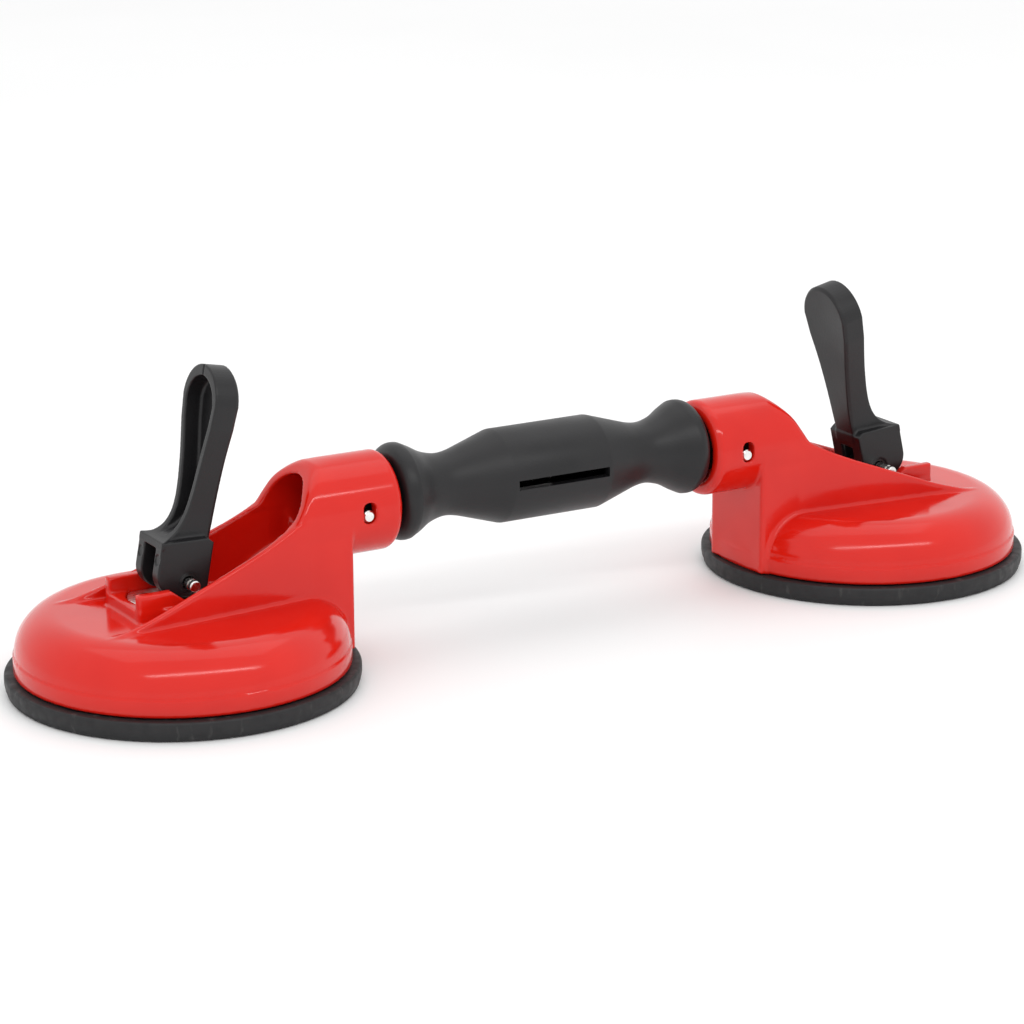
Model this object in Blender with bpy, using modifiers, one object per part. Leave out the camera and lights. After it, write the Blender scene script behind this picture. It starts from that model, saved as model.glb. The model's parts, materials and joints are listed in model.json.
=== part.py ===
"""Double suction lifter: two cam-lever suction heads joined by a hand grip.

Frame: origin on the floor under the middle of the grip, +X along the grip, +Z up.
Each head is modelled once in its own frame, with its pad centred on the origin and
+X pointing outward, away from the grip. The left head is the same meshes turned
half a turn about Z. Lengths below are millimetres, and MM turns them into metres.
"""

from math import cos, pi, radians, sin

import bmesh
import bpy
from mathutils import Matrix, Vector

MM = 0.001
GAP = 0.3              # clearance left between pieces that touch
MERGE = 0.0001         # metres, for the modifiers that weld
WELD = 0.0000005       # metres, for caps whose vertices coincide

# The heads and what joins them
HEAD_X = 141.7         # pad centre to the middle of the grip
TUBE_Z = 54.2          # axis of the socket tubes
GRIP_Z = 55.8          # axis of the grip, which rides high in the sockets
CROSS_PIN_X = 77.9     # cross pins, from the middle of the grip
CROSS_PIN_Z = 53.4

# Rubber pad
PAD_R = 60.8
PAD_FOOT_R = 60.0
PAD_H = 6.7
PAD_HOLE_R = 16.0
MEMBRANE_T = 2.2
DISH_R = 46.0
DISH_H = 1.0

# Red housing
CAP_R = 57.6
CAP_BASE_Z = 7.1
CAP_TOP_Z = 28.0
SHOULDER_R = 15.0
WALL = 3.0
STEP_Z = 13.5
STEP_IN = 0.5
TOWER_X = -57.5        # flat inner face of the tower
TOWER_HALF = 17.0
TIP_X = 37.5           # pointed outer ends of the ribs
TIP_HALF = 24.2
FLARE_X = -41.0        # the ribs run straight up to here, then flare
RIB_T = 2.6
TUBE_R = 17.6
BORE_R = 13.0
TUBE_END_X = -77.2
TUBE_ROUND = 3.0
SLOT_W = 5.0
SLOT_LOW_Z = 50.9
SLOT_HIGH_Z = 58.4

# Cam platform, guides and wear plate
PLATFORM_Z = 32.4
PLATFORM_END_X = 21.8
PLATE_X = 3.6
PLATE_R = 15.0
PLATE_T = 1.0
GUIDE_IN = 10.6
GUIDE_OUT = 14.2
GUIDE_Z = 37.8

# Draw bolt, boss and bonded plate
SHAFT_R = 3.5
HUB_R = 8.0
HUB_LOW_Z = 16.5
EYE_R = 4.8
EYE_T = 7.2
BONDED_R = 14.0
BONDED_T = 3.0

# Lever, in its own frame: pin at the origin, x outward, z up, before it leans
PIN_X = 1.0
PIN_Z = 38.1
PIN_R = 2.0
PIN_SHORT_END = 14.2
PIN_LONG_END = 17.5
LEAN = {"left": radians(11.0), "right": radians(13.0)}   # toward the grip, released
BLOCK_IN = -6.9
BLOCK_OUT = 12.0
BLOCK_LOW = -5.1
BLOCK_HALF = 9.3
CAM_ROUND = 7.5
FOOT_ROUND = 3.6
PADDLE_OUT = 1.8
PADDLE_IN = -7.6
PADDLE_HALF = 12.9
PADDLE_TIP_Z = 73.2
NECK_HALF = 5.7
RIM_T = 2.8
RIM_TOP = 3.8
HOLLOW_DEEP = 6.4
FORK_HALF = 4.5
FORK_X = -5.3
FORK_TOP = 10.5
INNER_WINDOW_TOP = 9.2

# Grip, radii along +X from its middle
GRIP_MID_X = 19.5
GRIP_MID_R = 16.9
NECK_X = 40.5
NECK_R = 11.2
FLANGE_R = 17.3
FLANGE_END_X = 63.0
TENON_R = 10.2
TENON_END_X = 84.0
GRIP_BORE_R = 8.3
CAVITY_R = 13.2        # hollow behind the window
CAVITY_X = 19.5
CAVITY_TAPER = 14.0
CROSS_PIN_R = 2.15
CROSS_PIN_HALF = 16.6
WINDOW_HALF = 18.6
WINDOW_H = 3.5
ROD_R = 8.0
ROD_WALL = 1.5
ROD_END_X = 74.5

# Colour, roughness and metallic value of each material
RED = ((0.78, 0.025, 0.02), 0.22, 0.0)
BLACK = ((0.028, 0.027, 0.029), 0.45, 0.0)
RUBBER = ((0.022, 0.022, 0.023), 0.75, 0.0)
STEEL = ((0.62, 0.61, 0.59), 0.25, 1.0)
DARK_STEEL = ((0.12, 0.12, 0.13), 0.4, 1.0)

FINE = 44              # facets around the large rounds
SMALL = 14             # facets around pins and bores


def clear_scene():
    for old in list(bpy.data.objects):
        bpy.data.objects.remove(old, do_unlink=True)


def make_collection(name):
    made = bpy.data.collections.new(name)
    bpy.context.scene.collection.children.link(made)
    return made


def make_material(name, colour, roughness, metallic):
    material = bpy.data.materials.new(name)
    material.use_nodes = True
    shader = material.node_tree.nodes["Principled BSDF"]
    shader.inputs["Base Color"].default_value = (*colour, 1.0)
    shader.inputs["Roughness"].default_value = roughness
    shader.inputs["Metallic"].default_value = metallic
    material.diffuse_color = (*colour, 1.0)
    return material


# ---- shapes, all made in the cutters' collection ----

def keep(obj, name):
    """Name a working shape and file it with the cutters."""
    obj.name = name
    for owner in list(obj.users_collection):
        owner.objects.unlink(obj)
    cutters.objects.link(obj)
    obj.hide_render = True
    obj.display_type = "WIRE"
    return obj


def apply_transform(obj):
    obj.data.transform(obj.matrix_basis)
    obj.matrix_basis = Matrix.Identity(4)


def box(name, low, high):
    bpy.ops.mesh.primitive_cube_add(size=1.0)
    obj = keep(bpy.context.object, name)
    obj.scale = [(b - a) * MM for a, b in zip(low, high)]
    obj.location = [(a + b) / 2 * MM for a, b in zip(low, high)]
    apply_transform(obj)
    return obj


def cylinder(name, radius, start, end, facets=SMALL):
    """A round bar from start to end."""
    first = Vector(start) * MM
    last = Vector(end) * MM
    axis = last - first
    bpy.ops.mesh.primitive_cylinder_add(vertices=facets, radius=radius * MM, depth=axis.length)
    obj = keep(bpy.context.object, name)
    turn = axis.to_track_quat("Z", "Y").to_matrix().to_4x4()
    obj.matrix_basis = Matrix.Translation((first + last) / 2) @ turn
    apply_transform(obj)
    return obj


def lathe(name, profile, axis="Z", facets=FINE):
    """Turn a profile of (radius, height) points, top to bottom on its outer side."""
    mesh = bpy.data.meshes.new(name)
    points = [(r * MM, 0.0, z * MM) for r, z in profile]
    closed = profile[0][0] > 0
    count = len(points)
    edges = [(i, (i + 1) % count) for i in range(count if closed else count - 1)]
    mesh.from_pydata(points, edges, [])
    obj = keep(bpy.data.objects.new(name, mesh), name)
    screw = obj.modifiers.new("turn", "SCREW")
    screw.axis = "Z"
    screw.steps = facets
    screw.render_steps = facets
    screw.use_merge_vertices = True
    screw.merge_threshold = MERGE
    if axis == "X":
        obj.rotation_euler.y = pi / 2
    return bake(obj)


def prism(name, outline, half, plane):
    """A flat outline, drawn in the XZ, YZ or XY plane, made 2 x half thick."""
    curve = bpy.data.curves.new(name, "CURVE")
    curve.dimensions = "2D"
    curve.fill_mode = "BOTH"
    curve.extrude = half * MM
    spline = curve.splines.new("POLY")
    spline.points.add(len(outline) - 1)
    for point, (a, b) in zip(spline.points, outline):
        point.co = (a * MM, b * MM, 0.0, 1.0)
    spline.use_cyclic_u = True
    obj = keep(bpy.data.objects.new(name, curve), name)
    if plane == "XZ":
        obj.rotation_euler = (pi / 2, 0.0, 0.0)
    if plane == "YZ":
        obj.rotation_euler = (pi / 2, 0.0, pi / 2)
    return bake(obj)


def bake(obj):
    """Replace a shape by its evaluated, welded, outward-facing mesh."""
    bpy.context.view_layer.update()
    graph = bpy.context.evaluated_depsgraph_get()
    mesh = bpy.data.meshes.new_from_object(obj.evaluated_get(graph))
    mesh.transform(obj.matrix_world)
    name = obj.name
    bpy.data.objects.remove(obj, do_unlink=True)
    work = bmesh.new()
    work.from_mesh(mesh)
    bmesh.ops.remove_doubles(work, verts=work.verts, dist=WELD)
    bmesh.ops.recalc_face_normals(work, faces=work.faces)
    work.to_mesh(mesh)
    work.free()
    return keep(bpy.data.objects.new(name, mesh), name)


def combine(target, operation, *tools):
    """Union, cut or intersect a shape with others, in order."""
    for tool in tools:
        modifier = target.modifiers.new(tool.name, "BOOLEAN")
        modifier.operation = operation
        modifier.solver = "EXACT"
        modifier.object = tool
        target = bake(target)
    return target


def arc(centre, radius, start, end, count):
    """Points on a round, angles in degrees."""
    turns = [radians(start + (end - start) * i / count) for i in range(count + 1)]
    return [(centre[0] + radius * cos(t), centre[1] + radius * sin(t)) for t in turns]


def smooth_line(points, steps):
    """Catmull-Rom curve through the points."""
    padded = [points[0]] + list(points) + [points[-1]]
    line = []
    for before, a, b, after in zip(padded, padded[1:], padded[2:], padded[3:]):
        for i in range(steps):
            t = i / steps
            weights = (
                (-t + 2 * t**2 - t**3) / 2,
                (2 - 5 * t**2 + 3 * t**3) / 2,
                (t + 4 * t**2 - 3 * t**3) / 2,
                (t**3 - t**2) / 2,
            )
            line.append(tuple(
                sum(w * p[k] for w, p in zip(weights, (before, a, b, after))) for k in (0, 1)
            ))
    line.append(tuple(points[-1]))
    return line


# ---- one head, in the head frame ----

def cap_outline(inset, base_z):
    """Half section of the cap, from its axis over the top and down its side."""
    top = CAP_TOP_Z - inset
    radius = CAP_R - inset
    shoulder = SHOULDER_R - inset
    outline = [(0.0, top)]
    outline += reversed(arc((radius - shoulder, top - shoulder), shoulder, 0, 90, 5))
    outline.append((radius, base_z))
    outline.append((0.0, base_z))
    return outline


def cap_solid():
    cap = lathe("cap", cap_outline(0.0, CAP_BASE_Z))
    rebate = lathe("step_rebate", [
        (CAP_R + 4.0, CAP_TOP_Z + 4.0), (CAP_R + 4.0, STEP_Z), (CAP_R - STEP_IN, STEP_Z),
        (CAP_R - STEP_IN, CAP_TOP_Z + 4.0),
    ])
    return combine(cap, "DIFFERENCE", rebate)


def rib_line():
    """Top edge of the ribs, from the outer tips up to the top of the tube."""
    return smooth_line([
        (TIP_X, 26.9), (20.0, 31.9), (6.5, 36.8), (-13.5, 44.2), (-21.0, 47.2),
        (-29.0, 50.7), (-35.5, 54.2), (-39.0, 59.0), (-42.5, 65.0), (-49.0, 71.9),
    ], 2)


def rib_half(x):
    """Half width over the ribs at x."""
    along = (x - FLARE_X) / (TIP_X - FLARE_X)
    return TOWER_HALF + (TIP_HALF - TOWER_HALF) * max(0.0, along)


def saddle_solid():
    """Tower, ribs and socket tube in one, before they are hollowed."""
    low = CAP_BASE_Z
    plan = prism("saddle_plan", [
        (TOWER_X, -TOWER_HALF), (FLARE_X, -TOWER_HALF), (TIP_X, -TIP_HALF),
        (TIP_X, TIP_HALF), (FLARE_X, TOWER_HALF), (TOWER_X, TOWER_HALF),
    ], 40.0, "XY")
    plan.location.z = (TUBE_Z - 40.4) * MM
    apply_transform(plan)
    floor = box("saddle_floor", (-90, -40, low - 60), (60, 40, low))
    plan = combine(plan, "DIFFERENCE", floor)
    tube_end = TUBE_R - TUBE_ROUND
    profile = [(0.0, 30.0), (TUBE_R, 30.0)]
    profile += arc((tube_end, TUBE_END_X + TUBE_ROUND), TUBE_ROUND, 0, -90, 4)
    profile.append((0.0, TUBE_END_X))
    tube = lathe("socket_tube", profile, "X", 32)
    tube.location.z = TUBE_Z * MM
    apply_transform(tube)
    side = prism("saddle_side", [(-90.0, 0.0), (TIP_X, 0.0)] + rib_line() + [(-90.0, 80.0)],
                 40.0, "XZ")
    body = combine(combine(plan, "UNION", tube), "INTERSECT", side)
    bore = cylinder("bore", BORE_R, (-90, 0, TUBE_Z), (-30, 0, TUBE_Z), 24)
    return combine(body, "DIFFERENCE", channel_cutter(), bore)


def channel_cutter():
    """Space between the ribs, sloping up to the tube's mouth."""
    side = prism("channel_side", [
        (TIP_X + 15, CAP_TOP_Z - 5), (TIP_X + 15, 90.0), (-48.0, 90.0), (-48.0, 41.6),
        (-41.0, 38.8), (-33.5, CAP_TOP_Z + 6.0), (-27.0, CAP_TOP_Z), (-21.0, CAP_TOP_Z - 5),
    ], 40.0, "XZ")
    far = TIP_X + 16
    plan = prism("channel_plan", [
        (-60.0, -BORE_R - 0.2), (-47.0, -BORE_R - 0.6), (far, RIB_T - rib_half(far)),
        (far, rib_half(far) - RIB_T), (-47.0, BORE_R + 0.6), (-60.0, BORE_R + 0.2),
    ], 120.0, "XY")
    return combine(side, "INTERSECT", plan)


def guides_and_platform():
    platform = cylinder("platform", PLATE_R + 2.4, (PLATE_X, 0, CAP_TOP_Z - 1),
                        (PLATE_X, 0, PLATFORM_Z), 32)
    nose = box("platform_nose", (PLATE_X, -GUIDE_OUT, CAP_TOP_Z - 1),
               (PLATFORM_END_X, GUIDE_OUT, PLATFORM_Z))
    recess = cylinder("recess", PLATE_R + 0.4, (PLATE_X, 0, PLATFORM_Z - PLATE_T - 0.7),
                      (PLATE_X, 0, PLATFORM_Z + 5), 32)
    base = combine(combine(platform, "UNION", nose), "DIFFERENCE", recess)
    side = [
        (PLATFORM_END_X, CAP_TOP_Z - 1), (PLATFORM_END_X, GUIDE_Z - 1.2),
        (PLATFORM_END_X - 1.2, GUIDE_Z), (9.8, GUIDE_Z), (5.4, GUIDE_Z - 3.4),
        (3.2, PLATFORM_Z), (3.2, CAP_TOP_Z - 1),
    ]
    half = (GUIDE_OUT - GUIDE_IN) / 2
    for sign in (-1, 1):
        guide = prism("guide", side, half, "XZ")
        guide.location.y = sign * (GUIDE_IN + half) * MM
        apply_transform(guide)
        base = combine(base, "UNION", guide)
    return base


def housing_shape():
    body = combine(cap_solid(), "UNION", saddle_solid())
    cavity = lathe("cavity", cap_outline(WALL, CAP_BASE_Z - 5.0))
    tower_hollow = box("tower_hollow", (TOWER_X + WALL + 0.6, -TOWER_HALF + WALL, 0.0),
                       (-30.0, TOWER_HALF - WALL, TUBE_Z - BORE_R - 4.5))
    slope = prism("hollow_slope", [(-44.0, 60.0), (-44.0, 37.0), (-29.0, 21.5), (-20.0, 21.5),
                                   (-20.0, 60.0)], 30.0, "XZ")
    tower_hollow = combine(tower_hollow, "DIFFERENCE", slope)
    slot_x = CROSS_PIN_X - HEAD_X
    slots = box("pin_slots", (slot_x - SLOT_W / 2, -30, SLOT_LOW_Z),
                (slot_x + SLOT_W / 2, 30, SLOT_HIGH_Z))
    body = combine(body, "DIFFERENCE", cavity, tower_hollow, slots)
    body = combine(body, "UNION", guides_and_platform())
    hub = cylinder("hub", HUB_R, (0, 0, HUB_LOW_Z), (0, 0, CAP_TOP_Z - 1.0), 24)
    stem_hole = cylinder("stem_hole", SHAFT_R + 0.4, (0, 0, 0), (0, 0, 60), 24)
    body = combine(body, "UNION", hub)
    return combine(body, "DIFFERENCE", stem_hole)


def wear_plate_shape():
    low = PLATFORM_Z - PLATE_T - 0.7 + GAP
    plate = cylinder("plate", PLATE_R, (PLATE_X, 0, low), (PLATE_X, 0, low + PLATE_T), 32)
    hole = cylinder("plate_hole", SHAFT_R + 0.8, (0, 0, 0), (0, 0, 60), 24)
    sides = [
        box("plate_side", (3.2 - GAP, sign * (GUIDE_IN - GAP) - 10 + 10 * sign, low - 5),
            (40, sign * (GUIDE_IN - GAP) + 10 + 10 * sign, low + 5))
        for sign in (-1, 1)
    ]
    return combine(plate, "DIFFERENCE", hole, *sides)


def suction_pad_shape():
    """Rubber pad: a thick rim, a thin membrane and a shallow dish under it."""
    seat = CAP_R - 1.5
    return lathe("pad", [
        (PAD_R - 0.8, PAD_H), (PAD_R, PAD_H - 1.0), (PAD_R, 3.0), (PAD_FOOT_R + 0.4, 1.2),
        (PAD_FOOT_R, 0.0), (DISH_R, 0.0), (DISH_R - 6.0, DISH_H), (PAD_HOLE_R, DISH_H),
        (PAD_HOLE_R, DISH_H + MEMBRANE_T), (seat - 8.0, DISH_H + MEMBRANE_T), (seat - 5.0, PAD_H),
    ])


def pad_boss_shape():
    return lathe("boss", [
        (0.0, 6.0), (PAD_HOLE_R - 1.2, 6.0), (PAD_HOLE_R - 0.4, 5.2), (PAD_HOLE_R - 0.4, DISH_H),
        (0.0, DISH_H),
    ], "Z", 32)


def pad_plate_shape():
    low = 6.0 + GAP
    return cylinder("bonded", BONDED_R, (0, 0, low), (0, 0, low + BONDED_T), 32)


def draw_stem_shape():
    low = 6.0 + BONDED_T + 2 * GAP
    shaft = cylinder("shaft", SHAFT_R, (0, 0, low), (0, 0, PIN_Z - 2.0), 24)
    eye = cylinder("eye", EYE_R, (PIN_X, -EYE_T / 2, PIN_Z), (PIN_X, EYE_T / 2, PIN_Z), 24)
    hole = cylinder("eye_hole", PIN_R + GAP, (PIN_X, -20, PIN_Z), (PIN_X, 20, PIN_Z))
    flats = [
        box("flat", (-9, sign * EYE_T / 2 - 5 + 5 * sign, PIN_Z - 4.5),
            (9, sign * EYE_T / 2 + 5 + 5 * sign, 60))
        for sign in (-1, 1)
    ]
    stem = combine(shaft, "UNION", eye)
    return combine(stem, "DIFFERENCE", hole, *flats)


# ---- lever, in its own frame ----

def block_side():
    """Side outline of the lever's block: foot, cam round, outer face and sloping top."""
    outline = arc((BLOCK_IN + FOOT_ROUND, BLOCK_LOW + FOOT_ROUND), FOOT_ROUND, 180, 270, 4)
    outline += arc((BLOCK_OUT - CAM_ROUND, BLOCK_LOW + CAM_ROUND), CAM_ROUND, -90, 0, 7)
    return outline + [(BLOCK_OUT, 13.0), (BLOCK_IN, 16.0)]


def paddle_side():
    """Side outline of the paddle, whose foot flares out over the block."""
    flare = smooth_line([
        (11.3, 13.2), (8.4, 14.6), (5.3, 17.4), (3.2, 22.0), (2.2, 28.5), (PADDLE_OUT, 37.0),
    ], 3)
    back = [(PADDLE_IN, PADDLE_TIP_Z), (PADDLE_IN, 45.0), (-7.2, 24.0), (-6.7, 15.0), (-6.7, 11.4)]
    return [(11.3, 11.4)] + flare + [(PADDLE_OUT, PADDLE_TIP_Z)] + back


def paddle_front(inset, low, top_z):
    """Front outline of the paddle, drawn in by inset, from low up to the round at top_z."""
    radius = PADDLE_HALF - inset
    side = smooth_line([
        (NECK_HALF - inset, low), (NECK_HALF + 0.9 - inset, 27.0), (8.8 - inset, 41.0),
        (11.6 - inset, 53.5),
    ], 3)
    right = side + arc((0.0, top_z - radius), radius, 4, 90, 7)
    left = [(-y, z) for y, z in reversed(right[:-1])]
    return right + left


def paddle_hollow():
    """Channel open on the paddle's outer side, its floor sweeping out over the block."""
    hollow = prism("paddle_hollow", paddle_front(RIM_T, 21.0, PADDLE_TIP_Z - RIM_TOP), 60.0, "YZ")
    floor_x = PADDLE_OUT - HOLLOW_DEEP
    sweep = prism("hollow_floor", [
        (20.0, 16.2), (6.5, 16.2), (1.5, 18.5), (-1.8, 23.0), (floor_x, 30.0), (floor_x, 90.0),
        (20.0, 90.0),
    ], 30.0, "XZ")
    return combine(hollow, "INTERSECT", sweep)


def lever_shape():
    paddle = prism("paddle", paddle_side(), 40.0, "XZ")
    front = prism("paddle_front", paddle_front(0.0, 0.0, PADDLE_TIP_Z), 60.0, "YZ")
    paddle = combine(paddle, "INTERSECT", front)
    lever = combine(prism("block", block_side(), BLOCK_HALF, "XZ"), "UNION", paddle)
    fork = box("fork", (FORK_X, -FORK_HALF, -20), (40, FORK_HALF, FORK_TOP))
    window_half = FORK_HALF - 0.8
    inner_window = box("inner_window", (-20, -window_half, -20), (0, window_half, INNER_WINDOW_TOP))
    hole = cylinder("lever_hole", PIN_R + GAP, (0, -30, 0), (0, 30, 0))
    return combine(lever, "DIFFERENCE", paddle_hollow(), fork, inner_window, hole)


def lever_pin_shape():
    """Clevis pin along Y, its long end toward -Y, with a retaining groove near each end."""
    groove = 1.45
    long, short = PIN_LONG_END, -PIN_SHORT_END
    profile = [(0.0, long), (PIN_R - 0.5, long), (PIN_R, long - 0.5), (PIN_R, long - 1.8),
               (groove, long - 1.8), (groove, long - 2.9), (PIN_R, long - 2.9),
               (PIN_R, short + 2.9), (groove, short + 2.9), (groove, short + 1.8),
               (PIN_R, short + 1.8), (PIN_R, short + 0.5), (PIN_R - 0.5, short), (0.0, short)]
    pin = lathe("pin", profile, "Z", SMALL)
    pin.rotation_euler.x = pi / 2
    return bake(pin)


# ---- grip, in the world frame ----

def grip_profile():
    """Radii of one half of the grip, from its tenon's end to the middle, as (radius, x)."""
    rounding = 4.5
    profile = [(TENON_R - 0.8, TENON_END_X), (TENON_R, TENON_END_X - 0.8), (TENON_R, FLANGE_END_X)]
    corner = (FLANGE_R - rounding, FLANGE_END_X - rounding)
    profile += reversed(arc(corner, rounding, 0, 90, 3))
    profile += smooth_line([
        (FLANGE_R - 0.1, FLANGE_END_X - 5.7), (15.6, 54.0), (13.0, 49.3), (NECK_R + 0.3, 44.3),
        (NECK_R, NECK_X), (NECK_R + 0.6, 36.5), (13.0, 32.3),
    ], 2)
    profile.append((GRIP_MID_R, GRIP_MID_X))
    return profile


def grip_shape():
    half = grip_profile()
    outer = half + [(r, -x) for r, x in reversed(half)]
    inner = [(GRIP_BORE_R, TENON_END_X), (GRIP_BORE_R, CAVITY_X + CAVITY_TAPER),
             (CAVITY_R, CAVITY_X)]
    bore = [(r, -x) for r, x in inner] + list(reversed(inner))
    grip = lathe("grip_turned", outer + bore, "X", 28)
    window = box("window", (-WINDOW_HALF, -30, -WINDOW_H / 2), (WINDOW_HALF, 0, WINDOW_H / 2))
    holes = [
        cylinder("cross_hole", CROSS_PIN_R + GAP, (sign * CROSS_PIN_X, -30, CROSS_PIN_Z - GRIP_Z),
                 (sign * CROSS_PIN_X, 30, CROSS_PIN_Z - GRIP_Z))
        for sign in (-1, 1)
    ]
    return combine(grip, "DIFFERENCE", window, *holes)


def cross_pin_shape():
    return cylinder("cross_pin", CROSS_PIN_R, (0, -CROSS_PIN_HALF, 0), (0, CROSS_PIN_HALF, 0))


def core_rod_shape(name, start, end):
    """Steel tube that stiffens one half of the grip."""
    rod = cylinder(name, ROD_R, (start, 0, 0), (end, 0, 0), 24)
    inside = cylinder(name + "_bore", ROD_R - ROD_WALL, (start - 5, 0, 0), (end + 5, 0, 0), 24)
    return combine(rod, "DIFFERENCE", inside)


# ---- assembly ----

def axis_empty(name, parent, x, z, turn=0.0):
    empty = bpy.data.objects.new(name, None)
    parts.objects.link(empty)
    empty.parent = parent
    empty.location = (x * MM, 0.0, z * MM)
    empty.rotation_euler.z = turn
    return empty


def place(name, shape, material, parent, x=0.0, z=0.0):
    """Put a copy of a shape on a joint's empty, with its own material."""
    mesh = shape.data.copy()
    mesh.name = name
    mesh.materials.clear()
    mesh.materials.append(make_material(name, *material))
    mesh.shade_smooth()
    mesh.set_sharp_from_angle(angle=radians(32))
    obj = bpy.data.objects.new(name, mesh)
    parts.objects.link(obj)
    obj.parent = parent
    obj.location = (x * MM, 0.0, z * MM)
    return obj


def build_head(side, sign, shapes):
    turn = 0.0 if sign > 0 else pi
    tilt_x = CROSS_PIN_X - HEAD_X
    tilt = axis_empty(side + "_tilt_axis", None, sign * CROSS_PIN_X, CROSS_PIN_Z, turn)
    draw = axis_empty(side + "_draw_axis", tilt, -tilt_x, -CROSS_PIN_Z)
    lever = axis_empty(side + "_lever_axis", draw, PIN_X, PIN_Z)
    lever.rotation_euler.y = -LEAN[side]
    for name, material in (("housing", RED), ("wear_plate", STEEL), ("suction_pad", RUBBER)):
        place(side + "_" + name, shapes[name], material, tilt, -tilt_x, -CROSS_PIN_Z)
    for name, material in (("draw_stem", DARK_STEEL), ("pad_boss", RUBBER), ("pad_plate", STEEL)):
        place(side + "_" + name, shapes[name], material, draw)
    place(side + "_lever", shapes["lever"], BLACK, lever)
    place(side + "_lever_pin", shapes["lever_pin"], STEEL, lever)


def main():
    shapes = {
        "housing": housing_shape(),
        "wear_plate": wear_plate_shape(),
        "suction_pad": suction_pad_shape(),
        "pad_boss": pad_boss_shape(),
        "pad_plate": pad_plate_shape(),
        "draw_stem": draw_stem_shape(),
        "lever": lever_shape(),
        "lever_pin": lever_pin_shape(),
    }
    for side, sign in (("left", -1), ("right", 1)):
        build_head(side, sign, shapes)
    grip_axis = axis_empty("grip_axis", None, 0.0, GRIP_Z)
    place("grip", grip_shape(), BLACK, grip_axis)
    place("left_core_rod", core_rod_shape("left_rod", -ROD_END_X, 0.0), STEEL, grip_axis)
    place("right_core_rod", core_rod_shape("right_rod", 24.0, ROD_END_X), STEEL, grip_axis)
    pin = cross_pin_shape()
    for side, sign in (("left", -1), ("right", 1)):
        place(side + "_cross_pin", pin, STEEL, grip_axis, sign * CROSS_PIN_X, CROSS_PIN_Z - GRIP_Z)


clear_scene()
parts = make_collection("double_suction_lifter")
cutters = make_collection("cutters")
main()
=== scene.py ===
"""Looks of the double suction lifter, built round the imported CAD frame.

The moulded pieces are surfaces of distance fields, which give them the rounded edges
and the fillets of real mouldings. The turned pieces are profiles with a Screw modifier.
Lengths are millimetres until a mesh is made, and MM turns them into metres.
"""

import json
from math import cos, pi, radians, sin

import bmesh
import bpy
import numpy as np
from mathutils import Matrix, Vector


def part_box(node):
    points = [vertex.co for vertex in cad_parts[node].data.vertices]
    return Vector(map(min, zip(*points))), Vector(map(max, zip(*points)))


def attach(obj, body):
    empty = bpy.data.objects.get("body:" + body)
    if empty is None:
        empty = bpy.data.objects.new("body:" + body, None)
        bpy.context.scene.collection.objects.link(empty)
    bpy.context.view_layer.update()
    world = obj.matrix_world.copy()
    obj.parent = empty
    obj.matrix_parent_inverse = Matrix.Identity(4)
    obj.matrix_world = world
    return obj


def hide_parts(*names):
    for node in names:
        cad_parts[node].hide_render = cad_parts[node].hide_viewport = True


MM = 0.001
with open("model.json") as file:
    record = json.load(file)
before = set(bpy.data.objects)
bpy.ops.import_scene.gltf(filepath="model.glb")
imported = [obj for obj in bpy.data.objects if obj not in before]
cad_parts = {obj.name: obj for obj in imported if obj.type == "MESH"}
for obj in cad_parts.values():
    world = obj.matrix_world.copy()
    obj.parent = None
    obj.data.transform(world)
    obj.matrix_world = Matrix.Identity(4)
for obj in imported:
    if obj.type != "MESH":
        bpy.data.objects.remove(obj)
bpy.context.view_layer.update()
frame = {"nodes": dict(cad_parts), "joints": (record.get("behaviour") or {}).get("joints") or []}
joints = {joint["name"]: joint for joint in frame["joints"]}

# ---- sizes, in the head frame: pad centre at the origin, +X outward, +Z up ----
pad_low, pad_high = (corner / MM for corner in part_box("right_suction_pad"))
HEAD_X = (pad_low.x + pad_high.x) / 2
PAD_R = (pad_high.x - pad_low.x) / 2
PAD_H = pad_high.z
PIN_X = joints["right_lever_turn"]["pos_m"][0] / MM - HEAD_X
PIN_Z = joints["right_lever_turn"]["pos_m"][2] / MM
CROSS_X = joints["right_head_tilt"]["pos_m"][0] / MM
CROSS_Z = joints["right_head_tilt"]["pos_m"][2] / MM
grip_low, grip_high = (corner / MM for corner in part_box("grip"))
GRIP_Z = (grip_low.z + grip_high.z) / 2
TUBE_Z = 54.2
TUBE_R = 17.6
TUBE_END_X = -77.2
BORE_R = 13.0
CAP_R = 57.6
CAP_TOP = 28.0
CAP_BASE = 7.1
TOWER_X = -57.5
TOWER_HALF = 17.0
TIP_X = 37.5
TIP_HALF = 24.2
FLARE_X = -41.0
RIB_T = 2.6
WALL = 3.0
STEP_Z = 13.5           # below this the cap is a little wider
PLATE_X = 3.6
PLATE_R = 15.0
PLATE_T = 1.0
PLATE_LOW = 1.4         # underside of the wear plate, below the platform
PLATFORM_Z = 32.4
PLATFORM_END_X = 21.8
PLATFORM_MARGIN = 2.4   # platform outside the wear plate
RECESS_GAP = 0.4
RECESS_DEPTH = 1.7
GUIDE_IN, GUIDE_OUT, GUIDE_TOP = 10.6, 14.2, 37.8
HUB_R = 8.0
HUB_LOW_Z = 16.5
BOLT_HOLE_R = 3.9
SLOT_HALF = 2.5
SLOT_LOW_Z, SLOT_HIGH_Z = 50.9, 58.4
ROD_R, ROD_BORE_R = 8.0, 6.5
ROD_END_X = 74.5
CROSS_PIN_R, CROSS_PIN_HALF = 2.15, 16.6
PIN_R, PIN_GROOVE_R = 2.0, 1.4
PIN_FRONT, PIN_BACK = 17.5, -14.2
LEAN = {"left": radians(11.0), "right": radians(13.0)}


# ---- distance fields: negative inside, lengths in millimetres ----

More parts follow.
